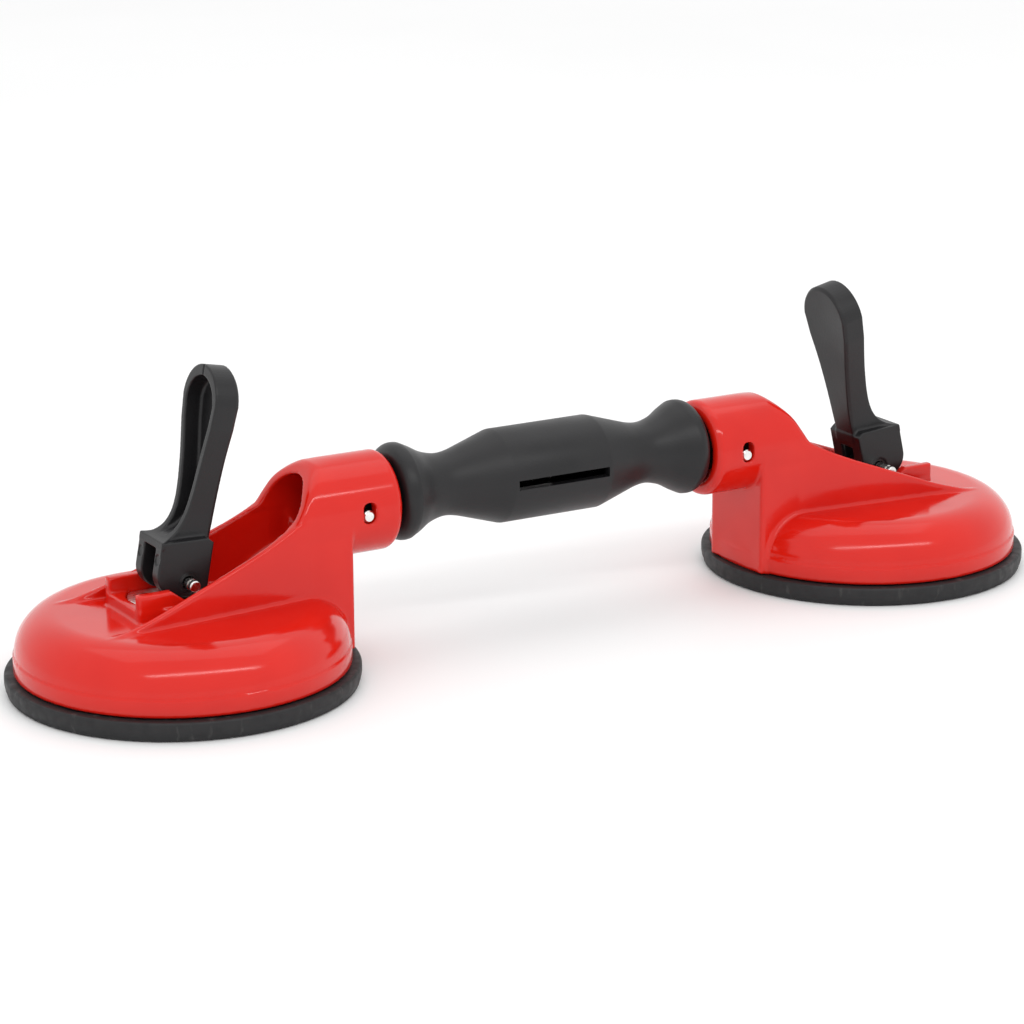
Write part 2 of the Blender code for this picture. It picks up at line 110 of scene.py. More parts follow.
def cut_round(a, b, r):
    """Intersection of two fields, its edge rounded to radius r."""
    corner = np.hypot(np.maximum(a + r, 0), np.maximum(b + r, 0))
    return np.minimum(np.maximum(a, b), -r) + corner


def join_round(a, b, r):
    """Union of two fields, its inner corner filled to radius r."""
    corner = np.hypot(np.maximum(r - a, 0), np.maximum(r - b, 0))
    return np.maximum(np.minimum(a, b), r) - corner


def outline_field(points, a, b):
    """Signed distance to a closed outline in the plane of a and b."""
    best = np.full(np.broadcast(a, b).shape, 1e9, dtype=np.float64)
    side = np.ones(best.shape)
    for (ax, ay), (bx, by) in zip(points, points[1:] + points[:1]):
        run, rise = bx - ax, by - ay
        along = np.clip(((a - ax) * run + (b - ay) * rise) / (run**2 + rise**2), 0, 1)
        best = np.minimum(best, (a - ax - run * along) ** 2 + (b - ay - rise * along) ** 2)
        above = b >= ay
        below = b < by
        left = run * (b - ay) > rise * (a - ax)
        crossed = (above & below & left) | (~above & ~below & ~left)
        side = np.where(crossed, -side, side)
    return side * np.sqrt(best)


def slab(value, low, high):
    """Field of the space between two parallel planes."""
    return np.maximum(low - value, value - high)


def isosurface(name, field, low, high, step):
    """Mesh of a field's zero surface, its points moved onto the surface itself."""
    low = np.array(low, dtype=float)
    counts = np.ceil((np.array(high) - low) / step).astype(int) + 1
    axes = [low[k] + step * np.arange(counts[k]) for k in range(3)]
    value = field(*np.meshgrid(*axes, indexing="ij", sparse=True))
    value = np.broadcast_to(value, counts)
    solid = value < 0
    cells = counts - 1
    filled = np.zeros(cells, dtype=np.int8)
    corners = [(i, j, k) for i in (0, 1) for j in (0, 1) for k in (0, 1)]
    for i, j, k in corners:
        filled += solid[i:cells[0] + i, j:cells[1] + j, k:cells[2] + k]
    active = (filled > 0) & (filled < 8)
    where = np.argwhere(active)
    number = np.full(cells, -1, dtype=np.int64)
    number[active] = np.arange(len(where))
    total = np.zeros((len(where), 3))
    hits = np.zeros((len(where), 1))
    for start in corners:
        for k in range(3):
            if start[k]:
                continue
            stop = tuple(1 if m == k else start[m] for m in range(3))
            near = value[tuple((where + start).T)]
            far = value[tuple((where + stop).T)]
            crosses = (near < 0) != (far < 0)
            share = near / np.where(crosses, near - far, 1.0)
            point = np.array(start) + share[:, None] * (np.array(stop) - start)
            total += np.where(crosses[:, None], point, 0)
            hits += crosses[:, None]
    points = low + step * (where + total / hits)
    points = settle(points, field, step)
    faces = []
    for k in range(3):
        a, b = np.eye(3, dtype=int)[[(k + 1) % 3, (k + 2) % 3]]
        ahead = np.roll(solid, -1, axis=k)
        edge = np.argwhere(solid != ahead)
        keep = (edge[:, k] < cells[k]) & (edge @ a > 0) & (edge @ b > 0)
        keep &= (edge @ a < cells[(k + 1) % 3]) & (edge @ b < cells[(k + 2) % 3])
        edge = edge[keep]
        ring = [number[tuple((edge - shift).T)] for shift in (0 * a, a, a + b, b)]
        quad = np.stack(ring, axis=1)
        outward = solid[tuple(edge.T)]
        quad[~outward] = quad[~outward][:, ::-1]
        faces.append(quad)
    return mesh_from_arrays(name, points * MM, np.concatenate(faces))


def settle(points, field, step):
    """Newton steps along the field's slope onto its zero surface, kept near the start."""
    reach = step * 0.2
    start = points
    for _ in range(4):
        x, y, z = points.T
        here = field(x, y, z)
        slope = np.stack([
            field(x + reach, y, z) - field(x - reach, y, z),
            field(x, y + reach, z) - field(x, y - reach, z),
            field(x, y, z + reach) - field(x, y, z - reach),
        ], axis=1) / (2 * reach)
        size = np.maximum(np.sqrt((slope**2).sum(axis=1)), 0.3)
        move = np.clip(here / size, -0.4 * step, 0.4 * step) / size
        drift = points - move[:, None] * slope - start
        far = np.sqrt((drift**2).sum(axis=1, keepdims=True))
        points = start + drift * np.minimum(1.0, 0.9 * step / np.maximum(far, 1e-9))
    return points


def mesh_from_arrays(name, points, quads):
    """Smooth mesh from point and quad arrays."""
    mesh = bpy.data.meshes.new(name)
    mesh.vertices.add(len(points))
    mesh.vertices.foreach_set("co", points.ravel())
    mesh.loops.add(quads.size)
    mesh.loops.foreach_set("vertex_index", quads.ravel())
    mesh.polygons.add(len(quads))
    mesh.polygons.foreach_set("loop_start", np.arange(0, quads.size, 4))
    mesh.update(calc_edges=True)
    mesh.validate()
    mesh.shade_smooth()
    return mesh


# ---- curves and turned meshes ----

def arc(centre, radius, start, end, count):
    """Points on a round, angles in degrees."""
    turns = [radians(start + (end - start) * i / count) for i in range(count + 1)]
    return [(centre[0] + radius * cos(t), centre[1] + radius * sin(t)) for t in turns]


def smooth_line(points, steps):
    """Catmull-Rom curve through the points."""
    padded = [points[0]] + list(points) + [points[-1]]
    line = []
    for before, a, b, after in zip(padded, padded[1:], padded[2:], padded[3:]):
        for i in range(steps):
            t = i / steps
            weights = (
                (-t + 2 * t**2 - t**3) / 2,
                (2 - 5 * t**2 + 3 * t**3) / 2,
                (t + 4 * t**2 - 3 * t**3) / 2,
                (t**3 - t**2) / 2,
            )
            line.append(tuple(
                sum(w * p[k] for w, p in zip(weights, (before, a, b, after))) for k in (0, 1)
            ))
    line.append(tuple(points[-1]))
    return line


def turned(name, profile, facets, turn=None):
    """Mesh of a (radius, height) profile turned about Z, then moved by the matrix turn."""
    mesh = bpy.data.meshes.new(name)
    closed = profile[0][0] > 0
    count = len(profile)
    edges = [(i, (i + 1) % count) for i in range(count if closed else count - 1)]
    mesh.from_pydata([(r * MM, 0.0, z * MM) for r, z in profile], edges, [])
    obj = bpy.data.objects.new(name, mesh)
    bpy.context.scene.collection.objects.link(obj)
    screw = obj.modifiers.new("turn", "SCREW")
    screw.steps = facets
    screw.render_steps = facets
    screw.use_merge_vertices = True
    screw.merge_threshold = 0.00001
    return baked(obj, turn)


def baked(obj, turn=None):
    """The object's evaluated mesh, smooth except at sharp edges; the object is removed."""
    bpy.context.view_layer.update()
    graph = bpy.context.evaluated_depsgraph_get()
    mesh = bpy.data.meshes.new_from_object(obj.evaluated_get(graph))
    mesh.name = obj.name
    bpy.data.objects.remove(obj, do_unlink=True)
    work = bmesh.new()
    work.from_mesh(mesh)
    bmesh.ops.recalc_face_normals(work, faces=work.faces)
    if turn is not None:
        work.transform(turn)
    work.to_mesh(mesh)
    work.free()
    mesh.shade_smooth()
    mesh.set_sharp_from_angle(angle=radians(28))
    return mesh


def cut_mesh(mesh, *cutters):
    """The mesh with each cutter mesh taken away."""
    for cutter in cutters:
        body = bpy.data.objects.new(mesh.name, mesh)
        tool = bpy.data.objects.new("tool", cutter)
        for obj in (body, tool):
            bpy.context.scene.collection.objects.link(obj)
        boolean = body.modifiers.new("cut", "BOOLEAN")
        boolean.operation = "DIFFERENCE"
        boolean.solver = "EXACT"
        boolean.object = tool
        mesh = baked(body)
        bpy.data.objects.remove(tool, do_unlink=True)
    return mesh


def box_mesh(name, low, high):
    """A plain block, used only to cut with."""
    work = bmesh.new()
    middle = Matrix.Translation((Vector(low) + Vector(high)) / 2 * MM)
    size = Matrix.Diagonal([(b - a) * MM for a, b in zip(low, high)] + [1.0])
    bmesh.ops.create_cube(work, size=1.0, matrix=middle @ size)
    mesh = bpy.data.meshes.new(name)
    work.to_mesh(mesh)
    work.free()
    return mesh


# ---- housing ----

def rib_half(x):
    """Half width over the ribs at x."""
    along = (x - FLARE_X) / (TIP_X - FLARE_X)
    return TOWER_HALF + (TIP_HALF - TOWER_HALF) * np.clip(along, 0, 1.3)


RIB_LINE = smooth_line([
    (TIP_X, 26.9), (20.0, 31.9), (6.5, 36.8), (-13.5, 44.2), (-21.0, 47.2),
    (-29.0, 50.7), (-35.5, 54.2), (-39.0, 59.0), (-42.5, 65.0), (-49.0, 71.9),
], 5)
SIDE = [(-90.0, 0.0), (TIP_X, 0.0)] + RIB_LINE + [(-90.0, 80.0)]
WELL = [
    (TIP_X + 20, CAP_TOP - 6), (TIP_X + 20, 95.0), (-34.0, 95.0), (-34.0, TUBE_Z),
    (-48.0, TUBE_Z), (-48.0, 41.6),
    (-41.0, 38.8), (-33.5, CAP_TOP + 6.0), (-27.0, CAP_TOP), (-19.0, CAP_TOP - 6),
]
GUIDE = [
    (PLATFORM_END_X, 20.0), (PLATFORM_END_X, GUIDE_TOP), (9.8, GUIDE_TOP),
    (5.4, GUIDE_TOP - 3.4), (3.2, PLATFORM_Z), (3.2, 20.0),
]


def cap_field(x, y, z):
    """Round cap with a big shoulder, and a slightly wider band at its foot."""
    rho = np.hypot(x, y)
    dome = cut_round(rho - (CAP_R - 0.5), z - CAP_TOP, 14.6)
    band = cut_round(rho - CAP_R, z - STEP_Z, 0.5)
    return cut_round(np.minimum(dome, band), CAP_BASE - z, 0.7)


def saddle_field(x, y, z):
    """Tower, ribs and socket tube, hollowed between the ribs and bored."""
    wide = np.abs(y) - rib_half(x)
    outline = outline_field(SIDE, x, z)
    walls = cut_round(cut_round(wide, TOWER_X - x, 1.3), z - TUBE_Z, 0.5)
    walls = np.maximum(cut_round(walls, outline, 1.25), CAP_BASE - z)
    radius = np.hypot(y, z - TUBE_Z)
    tube = cut_round(cut_round(radius - TUBE_R, TUBE_END_X - x, 3.2), outline, 2.0)
    solid = join_round(walls, tube, 1.0)
    well_half = np.minimum(rib_half(x) - RIB_T, BORE_R + 0.2 * np.maximum(x + 40.0, 0))
    well = cut_round(outline_field(WELL, x, z), np.abs(y) - well_half, 3.0)
    solid = cut_round(solid, -well, 1.2)
    return cut_round(solid, BORE_R - radius, 0.9)


def platform_field(x, y, z):
    """Cam platform with its round recess, and the two guides beside the lever."""
    nose = cut_round(slab(x, PLATE_X, PLATFORM_END_X), np.abs(y) - GUIDE_OUT, 0.8)
    rho = np.hypot(x - PLATE_X, y)
    disc = rho - PLATE_R - PLATFORM_MARGIN
    base = cut_round(join_round(nose, disc, 1.0), z - PLATFORM_Z, 0.6)
    recess = np.maximum(rho - PLATE_R - RECESS_GAP, PLATFORM_Z - RECESS_DEPTH - z)
    base = cut_round(base, -recess, 0.4)
    side = outline_field(GUIDE, x, z)
    guide = cut_round(side, slab(np.abs(y), GUIDE_IN, GUIDE_OUT), 0.8)
    return np.maximum(join_round(base, guide, 0.5), 24.0 - z)


def housing_field(x, y, z):
    """The whole red moulding, hollow under the cap, with its hub and cross-pin slots."""
    body = join_round(cap_field(x, y, z), saddle_field(x, y, z), 1.3)
    body = join_round(body, platform_field(x, y, z), 0.9)
    rho = np.hypot(x, y)
    inside = cut_round(rho - CAP_R + WALL, z - CAP_TOP + WALL, 12.0)
    body = np.maximum(body, -np.maximum(inside, -z))
    hub = np.maximum(rho - HUB_R, slab(z, HUB_LOW_Z, CAP_TOP - 1))
    body = np.maximum(np.minimum(body, hub), BOLT_HOLE_R - rho)
    slot_x = CROSS_X - HEAD_X
    slot = cut_round(np.abs(x - slot_x) - SLOT_HALF, slab(z, SLOT_LOW_Z, SLOT_HIGH_Z), 2.3)
    return cut_round(body, -np.maximum(slot, 5.0 - np.abs(y)), 0.4)


# ---- lever, in its own frame: pin at the origin, x outward, z up, before it leans ----

BLOCK_IN, BLOCK_OUT, BLOCK_LOW, BLOCK_HALF = -6.9, 12.0, -5.1, 9.3
CAM_ROUND, FOOT_ROUND = 7.5, 3.6
FACE_X, BACK_X = 1.8, -7.6
TIP_Z, TIP_R = 73.2, 12.9
RIM_T = 2.8
RIM_DROP = 1.0          # the rim is this much thicker at the tip
THUMB_X, THUMB_Z, THUMB_R = -77.6, 56.0, 71.0
FORK_X, FORK_HALF, FORK_TOP = -5.3, 4.5, 10.5
WINDOW_HALF, WINDOW_TOP = 3.7, 9.2
PIN_HOLE_R = 2.3
SEAT_R, SEAT_DEPTH = 3.5, 0.45
EJECTOR_R, EJECTOR_YZ, EJECTOR_DEPTH = 1.85, 6.9, 0.35
SPLIT_R, SPLIT_LOW_Z = 0.45, 68.5
BLOCK = (
    arc((BLOCK_IN + FOOT_ROUND, BLOCK_LOW + FOOT_ROUND), FOOT_ROUND, 180, 270, 6)
    + arc((BLOCK_OUT - CAM_ROUND, BLOCK_LOW + CAM_ROUND), CAM_ROUND, -90, 0, 10)
    + [(BLOCK_OUT, 13.0), (-4.6, 15.7), (BLOCK_IN, 14.4)]
)
PADDLE = (
    [(11.6, 11.0)]
    + smooth_line([
        (11.6, 12.9), (8.6, 14.4), (5.5, 17.3), (3.3, 22.0), (2.2, 29.0), (FACE_X, 40.0),
    ], 6)
    + [(FACE_X, 90.0), (BACK_X, 90.0), (BACK_X, 45.0), (-7.2, 24.0), (-6.7, 15.0), (-6.7, 11.0)]
)
HOLLOW = smooth_line([(12.5, 14.7), (8.0, 14.8), (3.0, 16.9), (-1.2, 21.6), (-4.4, 30.0)], 5) + [
    (-4.4, 90.0), (25.0, 90.0), (25.0, 14.7),
]


def paddle_front(top):
    """Front outline of the paddle up to a round whose top is at that height."""
    side = smooth_line([(5.7, 0.0), (5.8, 18.0), (6.6, 28.0), (8.9, 41.0), (11.8, 53.0)], 6)
    right = side + arc((0.0, top - TIP_R), TIP_R, 4, 90, 14)
    return right + [(-y, z) for y, z in reversed(right[:-1])]


FRONT = paddle_front(TIP_Z)
FRONT_LOWERED = paddle_front(TIP_Z - RIM_DROP)


def lever_field(x, y, z):
    """Cam block, paddle with its outer channel, fork for the draw bolt and moulding marks."""
    block = cut_round(outline_field(BLOCK, x, z), np.abs(y) - BLOCK_HALF, 0.4)
    parting = 0.25 * np.clip((-6.0 - x) / 0.3, 0, 1)
    flare = 0.06 * np.maximum(x - 4.0, 0) ** 2
    front = outline_field(FRONT, y, z) + parting - flare
    paddle = cut_round(outline_field(PADDLE, x, z), front, 0.45)
    thumb = np.sqrt((x - THUMB_X) ** 2 + (0.8 * y) ** 2 + (0.35 * (z - THUMB_Z)) ** 2) - THUMB_R
    paddle = cut_round(paddle, -thumb, 1.2)
    body = join_round(block, paddle, 1.0)
    rim = outline_field(FRONT_LOWERED, y, z) + RIM_T
    hollow = cut_round(outline_field(HOLLOW, x, z), rim, 1.3)
    body = cut_round(body, -hollow, 0.4)
    fork = cut_round(cut_round(FORK_X - x, np.abs(y) - FORK_HALF, 0.5), z - FORK_TOP, 0.5)
    body = cut_round(body, -fork, 0.35)
    window = np.maximum(np.abs(y) - WINDOW_HALF, slab(z, -30.0, WINDOW_TOP))
    window = np.maximum(window, slab(x, -20.0, 0.0))
    body = cut_round(body, -window, 0.3)
    pin = np.hypot(x, z)
    body = np.maximum(body, PIN_HOLE_R - pin)
    seat = np.maximum(pin - SEAT_R, BLOCK_HALF - SEAT_DEPTH - np.abs(y))
    body = cut_round(body, -seat, 0.2)
    ejector = np.hypot(np.abs(y) - EJECTOR_YZ, z - EJECTOR_YZ) - EJECTOR_R
    body = np.maximum(body, -np.maximum(ejector, BLOCK_OUT - EJECTOR_DEPTH - x))
    split = np.maximum(np.hypot(y, x - FACE_X) - SPLIT_R, SPLIT_LOW_Z - z)
    return np.maximum(body, -split)


# ---- turned pieces ----

def pad_mesh():
    """Rubber pad: rim with a soft lip, thin membrane, shallow dish under it."""
    rim = PAD_R - 0.9
    profile = [(51.1, PAD_H - 0.2), (51.6, PAD_H)]
    profile += reversed(arc((rim, PAD_H - 0.9), 0.9, 0, 90, 5))
    profile += [(PAD_R, 3.6), (PAD_R - 0.25, 2.2), (60.0, 1.1)]
    profile += reversed(arc((59.4, 0.6), 0.6, -90, 0, 4))
    profile += [(46.0, 0.0), (40.0, 1.0), (16.0, 1.0), (16.0, 3.2), (48.0, 3.2)]
    return turned("pad", profile, 160)


TENON_R, TENON_END_X = 10.2, 84.0
FLANGE_R, FLANGE_END_X, FLANGE_ROUND = 17.3, 63.0, 4.5
MIDDLE_R, MIDDLE_X = 16.9, 19.3
GRIP_BORE_R, CAVITY_R, CAVITY_X, CAVITY_TAPER = 8.3, 13.2, 19.5, 14.0
SLIT_HALF_X, SLIT_HALF_Z = 18.6, 1.75
CROSS_HOLE_R = 2.45


def grip_mesh():
    """Turned grip: flanges, waists, fat middle with a window, tenons and a hollow inside."""
    half = [(TENON_R - 0.8, TENON_END_X), (TENON_R, TENON_END_X - 0.8)]
    half += [(TENON_R, FLANGE_END_X), (11.6, FLANGE_END_X)]
    corner = (FLANGE_R - FLANGE_ROUND, FLANGE_END_X - FLANGE_ROUND)
    half += reversed(arc(corner, FLANGE_ROUND, 0, 88, 8))
    half += smooth_line([
        (17.2, 57.3), (15.6, 54.0), (13.0, 49.3), (11.5, 44.3), (11.2, 40.5), (11.8, 36.5),
        (13.0, 32.3), (14.9, 26.1), (16.75, 20.1),
    ], 5)
    half += [(MIDDLE_R, MIDDLE_X)]
    inner = [(GRIP_BORE_R, TENON_END_X), (GRIP_BORE_R, CAVITY_X + CAVITY_TAPER),
             (CAVITY_R, CAVITY_X)]
    profile = half + [(r, -x) for r, x in reversed(half)]
    profile += [(r, -x) for r, x in inner] + inner[::-1]
    grip = turned("grip_shape", profile, 128, Matrix.Rotation(pi / 2, 4, "Y"))
    window = box_mesh("window", (-SLIT_HALF_X, -30, -SLIT_HALF_Z), (SLIT_HALF_X, 0, SLIT_HALF_Z))
    holes = [
        turned("hole", hole_profile(CROSS_HOLE_R, -30.0, 30.0), 32,
               Matrix.Translation((sign * CROSS_X * MM, 0, (CROSS_Z - GRIP_Z) * MM))
               @ Matrix.Rotation(pi / 2, 4, "X"))
        for sign in (-1, 1)
    ]
    return cut_mesh(grip, window, *holes)


def hole_profile(radius, low, high):
    """Profile of a plain round cutter."""
    return [(0.0, high), (radius, high), (radius, low), (0.0, low)]


def bar_mesh(name, radius, low, high, chamfer, axis, hole=0.0):
    """A chamfered round bar, or a tube when it has a hole of some radius."""
    profile = [(hole, high), (radius - chamfer, high), (radius, high - chamfer),
               (radius, low + chamfer), (radius - chamfer, low), (hole, low)]
    turn = Matrix.Rotation(pi / 2, 4, "Y") if axis == "X" else Matrix.Rotation(-pi / 2, 4, "X")
    return turned(name, profile, 48, turn)


def lever_pin_mesh():
    """Clevis pin with rounded ends and a retaining groove at each end."""
    profile = pin_end(PIN_FRONT, 1) + list(reversed(pin_end(PIN_BACK, -1)))
    return turned("pin", profile, 48, Matrix.Rotation(pi / 2, 4, "X"))


def pin_end(end, sign):
    """Profile of one end of the pin, from its axis inward past the groove."""
    r, edge = PIN_R, 0.5
    corner = arc((r - edge, end - sign * edge), edge, 0, 90 * sign, 4)
    return [(0.0, end), (0.9, end)] + corner[::-1] + [
        (r, end - sign * 1.8), (PIN_GROOVE_R, end - sign * 1.9),
        (PIN_GROOVE_R, end - sign * 2.8), (r, end - sign * 2.9),
    ]


def plate_mesh():
    """Polished wear plate, flat at the guides and holed for the draw bolt."""
    low = PLATFORM_Z - PLATE_LOW
    top = low + PLATE_T
    shift = Matrix.Translation((PLATE_X * MM, 0, 0))
    disc = turned("plate", [
        (0.0, top), (PLATE_R - 0.3, top), (PLATE_R, top - 0.3), (PLATE_R, low), (0.0, low),
    ], 96, shift)
    hole = turned("hole", hole_profile(4.3, low - 5, top + 5), 48)
    near, far = GUIDE_IN - 0.3, GUIDE_IN + 19.7
    sides = [
        box_mesh("side", (2.9, low_y, low - 5), (40, high_y, top + 5))
        for low_y, high_y in ((-far, -near), (near, far))
    ]
    return cut_mesh(disc, hole, *sides)


# ---- materials ----

class Finish:
    """A node material on a Principled shader, with helpers for the layers it is made of."""

    def __init__(self, name, colour, roughness, metallic=0.0):
        self.material = bpy.data.materials.new(name)
        self.material.use_nodes = True
        self.material.diffuse_color = (*colour, 1.0)
        self.nodes = self.material.node_tree.nodes
        self.links = self.material.node_tree.links
        self.shader = self.nodes["Principled BSDF"]
        self.shader.inputs["Base Color"].default_value = (*colour, 1.0)
        self.shader.inputs["Roughness"].default_value = roughness
        self.shader.inputs["Metallic"].default_value = metallic
        self.place = self.nodes.new("ShaderNodeTexCoord").outputs["Object"]
        self.bumps = None

    def noise(self, scale, detail=3.0, stretch=(1.0, 1.0, 1.0)):
        """Noise on the object's own coordinates, drawn out along an axis by its stretch."""
        mapping = self.nodes.new("ShaderNodeMapping")
        mapping.inputs["Scale"].default_value = stretch
        self.links.new(self.place, mapping.inputs["Vector"])
        texture = self.nodes.new("ShaderNodeTexNoise")
        texture.inputs["Scale"].default_value = scale
        texture.inputs["Detail"].default_value = detail
        self.links.new(mapping.outputs["Vector"], texture.inputs["Vector"])
        return texture.outputs["Fac"]

    def spread(self, value, low, high, to_low=0.0, to_high=1.0):
        """Remap a value from one range to another."""
        node = self.nodes.new("ShaderNodeMapRange")
        node.inputs["From Min"].default_value = low
        node.inputs["From Max"].default_value = high
        node.inputs["To Min"].default_value = to_low
        node.inputs["To Max"].default_value = to_high
        self.links.new(value, node.inputs["Value"])
        return node.outputs["Result"]

    def blend_colour(self, value, first, second):
        """Base colour running from the first to the second as the value goes from 0 to 1."""
        node = self.nodes.new("ShaderNodeMix")
        node.data_type = "RGBA"
        node.inputs["A"].default_value = (*first, 1.0)
        node.inputs["B"].default_value = (*second, 1.0)
        self.links.new(value, node.inputs["Factor"])
        self.links.new(node.outputs["Result"], self.shader.inputs["Base Color"])

    def roughness(self, value):
        """Roughness that follows a value."""
        self.links.new(value, self.shader.inputs["Roughness"])

    def bump(self, value, height, strength=1.0):
        """Stack a bump of that height, in millimetres, on the ones already there."""
        node = self.nodes.new("ShaderNodeBump")
        node.inputs["Distance"].default_value = height * MM
        node.inputs["Strength"].default_value = strength
        self.links.new(value, node.inputs["Height"])
        if self.bumps is not None:
            self.links.new(self.bumps, node.inputs["Normal"])
        self.bumps = node.outputs["Normal"]
        self.links.new(self.bumps, self.shader.inputs["Normal"])


def red_plastic():
    """Glossy moulded ABS: slight flow in colour and gloss, faint ripple and hairline marks."""
    finish = Finish("glossy_red_plastic", (0.62, 0.009, 0.003), 0.14)
    flow = finish.noise(35.0, 2.0)
    finish.blend_colour(finish.spread(flow, 0.3, 0.7), (0.59, 0.008, 0.003), (0.65, 0.012, 0.005))
    haze = finish.noise(90.0, 4.0)
    finish.roughness(finish.spread(haze, 0.35, 0.75, 0.10, 0.18))
    finish.bump(finish.noise(60.0, 1.0), 0.04, 0.3)
    finish.bump(finish.noise(900.0, 2.0), 0.003, 0.2)
    finish.shader.inputs["Specular IOR Level"].default_value = 0.42
    return finish.material


def black_plastic():
    """Spark-eroded glass-filled nylon: fine grain and worn, shinier patches."""
    finish = Finish("grained_black_plastic", (0.008, 0.008, 0.009), 0.42)
    patch = finish.noise(45.0, 3.0)
    tone = finish.spread(patch, 0.3, 0.7)
    finish.blend_colour(tone, (0.006, 0.006, 0.007), (0.011, 0.0105, 0.0115))
    finish.roughness(finish.spread(patch, 0.3, 0.75, 0.34, 0.50))
    finish.bump(finish.noise(1500.0, 2.5), 0.07, 0.8)
    finish.bump(finish.noise(420.0, 2.0), 0.03, 0.4)
    finish.shader.inputs["Specular IOR Level"].default_value = 0.4
    return finish.material


def rubber():
    """Smooth black rubber with a few fine upright pale scuffs."""
    finish = Finish("scuffed_rubber", (0.013, 0.013, 0.014), 0.6)
    scuff = finish.noise(300.0, 6.0, (1.0, 1.0, 0.25))
    marks = finish.spread(scuff, 0.60, 0.78)
    finish.blend_colour(marks, (0.012, 0.012, 0.013), (0.06, 0.058, 0.056))
    finish.roughness(finish.spread(finish.noise(260.0, 4.0), 0.3, 0.7, 0.46, 0.68))
    finish.bump(finish.noise(240.0, 5.0), 0.07, 0.4)
    finish.bump(finish.noise(1400.0, 2.0), 0.02, 0.4)
    finish.shader.inputs["Specular IOR Level"].default_value = 0.4
    return finish.material


def bright_steel():
    """Zinc-plated steel with fine drawing marks."""
    finish = Finish("bright_zinc_steel", (0.80, 0.79, 0.77), 0.2, 1.0)
    tone = finish.noise(300.0, 3.0)
    finish.blend_colour(finish.spread(tone, 0.3, 0.7), (0.72, 0.71, 0.69), (0.86, 0.85, 0.83))
    finish.roughness(finish.spread(finish.noise(700.0, 3.0), 0.3, 0.7, 0.12, 0.30))
    finish.bump(finish.noise(1200.0, 2.0, (4.0, 0.4, 4.0)), 0.01, 0.3)
    return finish.material


def polished_plate():
    """Polished wear plate with rubbed streaks where the cam slides."""
    finish = Finish("polished_wear_plate", (0.82, 0.80, 0.77), 0.15, 1.0)
    streak = finish.noise(500.0, 4.0, (0.15, 2.0, 1.0))
    finish.blend_colour(finish.spread(streak, 0.3, 0.7), (0.82, 0.81, 0.78), (0.90, 0.89, 0.87))
    finish.roughness(finish.spread(streak, 0.3, 0.7, 0.24, 0.34))
    finish.bump(streak, 0.003, 0.3)
    return finish.material


def dark_steel():
    """Black-oxide steel of the draw bolt."""
    finish = Finish("black_oxide_steel", (0.07, 0.07, 0.075), 0.4, 1.0)
    tone = finish.noise(400.0, 3.0)
    finish.blend_colour(finish.spread(tone, 0.3, 0.7), (0.05, 0.05, 0.055), (0.12, 0.12, 0.125))
    finish.roughness(finish.spread(tone, 0.3, 0.7, 0.3, 0.5))
    finish.bump(finish.noise(1500.0, 2.0), 0.01, 0.4)
    return finish.material


# ---- assembly ----

def piece(name, mesh, material, body, node, matrix):
    """Show a mesh in place of a CAD node, riding on that node's body."""
    mesh = mesh.copy()
    mesh.name = name
    mesh.transform(matrix)
    mesh.materials.clear()
    mesh.materials.append(material)
    obj = bpy.data.objects.new(name, mesh)
    bpy.context.scene.collection.objects.link(obj)
    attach(obj, body)
    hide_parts(node)
    return obj


def build_heads(finishes):
    """Both heads, from one set of meshes."""
    housing = isosurface("housing", housing_field, (-80, -61, 4), (61, 61, 75), HOUSING_STEP)
    lever = isosurface("lever", lever_field, (-11, -15, -8), (14, 15, 76), LEVER_STEP)
    pad, pin, plate = pad_mesh(), lever_pin_mesh(), plate_mesh()
    for side, sign in (("left", -1), ("right", 1)):
        head = Matrix.Translation((sign * HEAD_X * MM, 0, 0))
        head @= Matrix.Rotation(pi if sign < 0 else 0.0, 4, "Z")
        arm = head @ Matrix.Translation((PIN_X * MM, 0, PIN_Z * MM))
        arm @= Matrix.Rotation(-LEAN[side], 4, "Y")
        for part, mesh, finish, body, slot, place in (
            ("housing", housing, "red", "head", "red_plastic", head),
            ("suction_pad", pad, "rubber", "head", "rubber", head),
            ("wear_plate", plate, "plate", "head", "bright_steel", head),
            ("lever", lever, "black", "lever_arm", "black_plastic", arm),
            ("lever_pin", pin, "steel", "lever_arm", "bright_steel", arm),
        ):
            piece(f"{side}_{part}_fine", mesh, finishes[finish], f"{side}_{body}",
                  f"{side}_{part}", place)


def build_handle(finishes):
    """Grip, core tubes and cross pins."""
    axis = Matrix.Translation((0, 0, GRIP_Z * MM))
    piece("grip_fine", grip_mesh(), finishes["black"], "handle", "grip", axis)
    for side, sign, low, high in (
        ("left", -1, -ROD_END_X, 0.0), ("right", 1, 24.0, ROD_END_X),
    ):
        rod = bar_mesh(side + "_rod", ROD_R, low, high, 0.3, "X", ROD_BORE_R)
        piece(side + "_core_rod_fine", rod, finishes["steel"], "handle", side + "_core_rod",
              axis)
        pin = bar_mesh("cross_pin", CROSS_PIN_R, -CROSS_PIN_HALF, CROSS_PIN_HALF, 0.5, "Y")
        place = Matrix.Translation((sign * CROSS_X * MM, 0, CROSS_Z * MM))
        piece(side + "_cross_pin_fine", pin, finishes["steel"], "handle", side + "_cross_pin",
              place)


def finish_hidden_nodes(finishes):
    """Node materials for the CAD nodes that are shown as they are."""
    shown = (("draw_stem", "dark"), ("pad_plate", "steel"), ("pad_boss", "rubber"))
    for side in ("left", "right"):
        for node, finish in shown:
            mesh = frame["nodes"][f"{side}_{node}"].data
            mesh.materials.clear()
            mesh.materials.append(finishes[finish])


# ---- studio ----

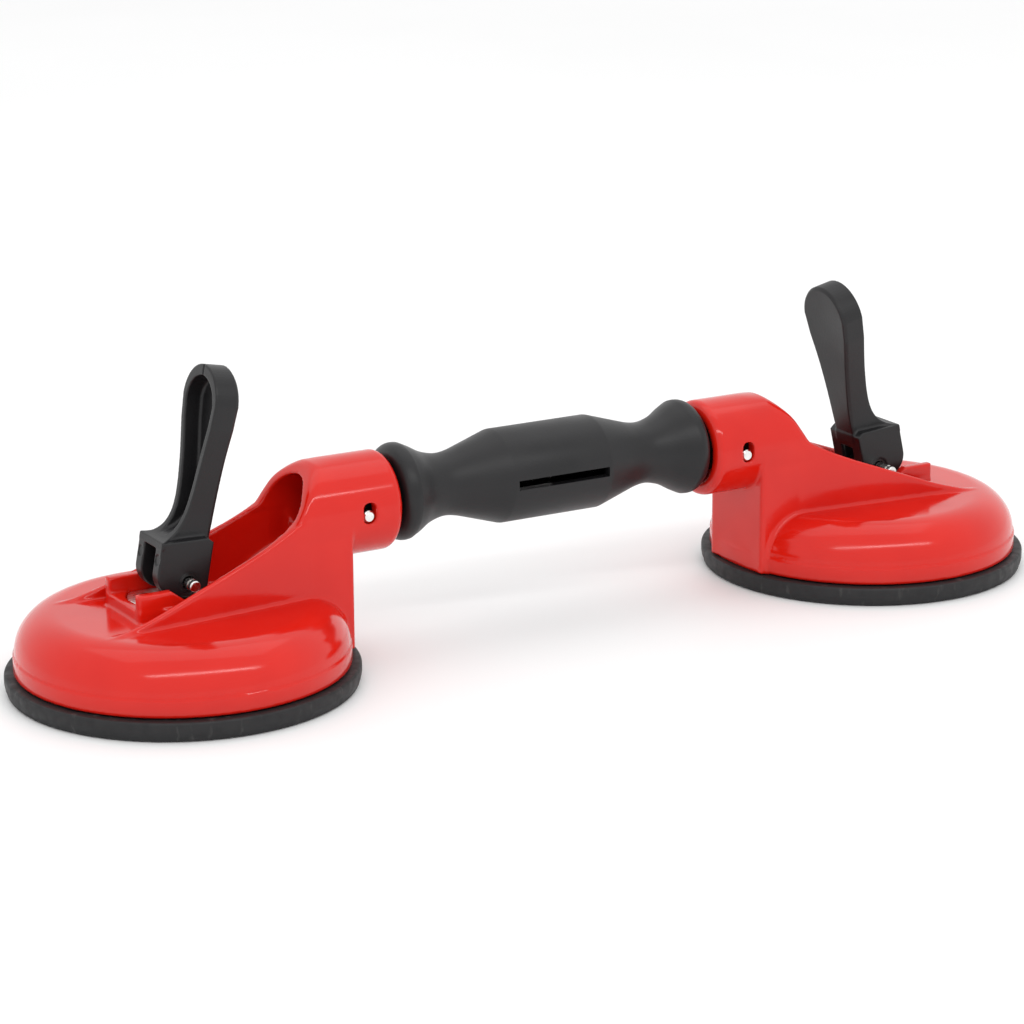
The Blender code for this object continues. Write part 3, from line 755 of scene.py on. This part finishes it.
AIM = (59.94, 124.35, 0.0)     # millimetres, the floor point under the picture's middle
AZIMUTH = radians(30.05)
ELEVATION = radians(16.03)
ROLL = radians(-0.31)
DISTANCE = 1351.4
LENS = 118.43


def add_camera():
    """Long-lens camera aimed at a point on the floor."""
    level = cos(ELEVATION)
    forward = Vector((sin(AZIMUTH) * level, cos(AZIMUTH) * level, -sin(ELEVATION)))
    right = forward.cross(Vector((0, 0, 1))).normalized()
    up = right.cross(forward)
    turned_right = right * cos(ROLL) + up * sin(ROLL)
    turned_up = up * cos(ROLL) - right * sin(ROLL)
    data = bpy.data.cameras.new("camera")
    data.lens = LENS
    data.sensor_width = 36.0
    camera = bpy.data.objects.new("camera", data)
    camera.matrix_world = Matrix.Translation((Vector(AIM) - forward * DISTANCE) * MM) @ Matrix(
        (turned_right, turned_up, -forward)
    ).transposed().to_4x4()
    bpy.context.scene.collection.objects.link(camera)
    bpy.context.scene.camera = camera


def area_light(name, place, size, power):
    """Softbox aimed at the origin."""
    data = bpy.data.lights.new(name, "AREA")
    data.shape = "RECTANGLE"
    data.size, data.size_y = size
    data.energy = power
    light = bpy.data.objects.new(name, data)
    light.location = place
    light.rotation_euler = (-Vector(place)).to_track_quat("-Z", "Y").to_euler()
    bpy.context.scene.collection.objects.link(light)


def add_floor():
    """Plain pale floor just under the pads."""
    work = bmesh.new()
    bmesh.ops.create_grid(work, x_segments=1, y_segments=1, size=6.0)
    mesh = bpy.data.meshes.new("floor")
    work.to_mesh(mesh)
    work.free()
    floor = bpy.data.objects.new("floor", mesh)
    floor.location.z = -0.0003
    finish = Finish("pale_floor", (0.93, 0.93, 0.93), 0.6)
    tone = finish.spread(finish.noise(3.0), 0.3, 0.7)
    finish.blend_colour(tone, (0.92, 0.92, 0.92), (0.94, 0.94, 0.94))
    mesh.materials.append(finish.material)
    bpy.context.scene.collection.objects.link(floor)


def add_studio():
    """White surroundings, floor, two softboxes and the camera."""
    scene = bpy.context.scene
    scene.view_settings.view_transform = "Standard"
    world = bpy.data.worlds.new("studio")
    world.use_nodes = True
    world.node_tree.nodes["Background"].inputs["Color"].default_value = (1.0, 1.0, 1.0, 1.0)
    world.node_tree.nodes["Background"].inputs["Strength"].default_value = 1.0
    scene.world = world
    add_floor()
    area_light("strip", (-0.25, -1.15, 1.25), (2.2, 0.14), 7.0)
    area_light("top", (0.1, 0.3, 1.5), (1.8, 1.0), 3.0)
    add_camera()


HOUSING_STEP = 0.7
LEVER_STEP = 0.42

finishes = {
    "red": red_plastic(), "black": black_plastic(), "rubber": rubber(), "steel": bright_steel(),
    "plate": polished_plate(), "dark": dark_steel(),
}
build_heads(finishes)
build_handle(finishes)
finish_hidden_nodes(finishes)
add_studio()
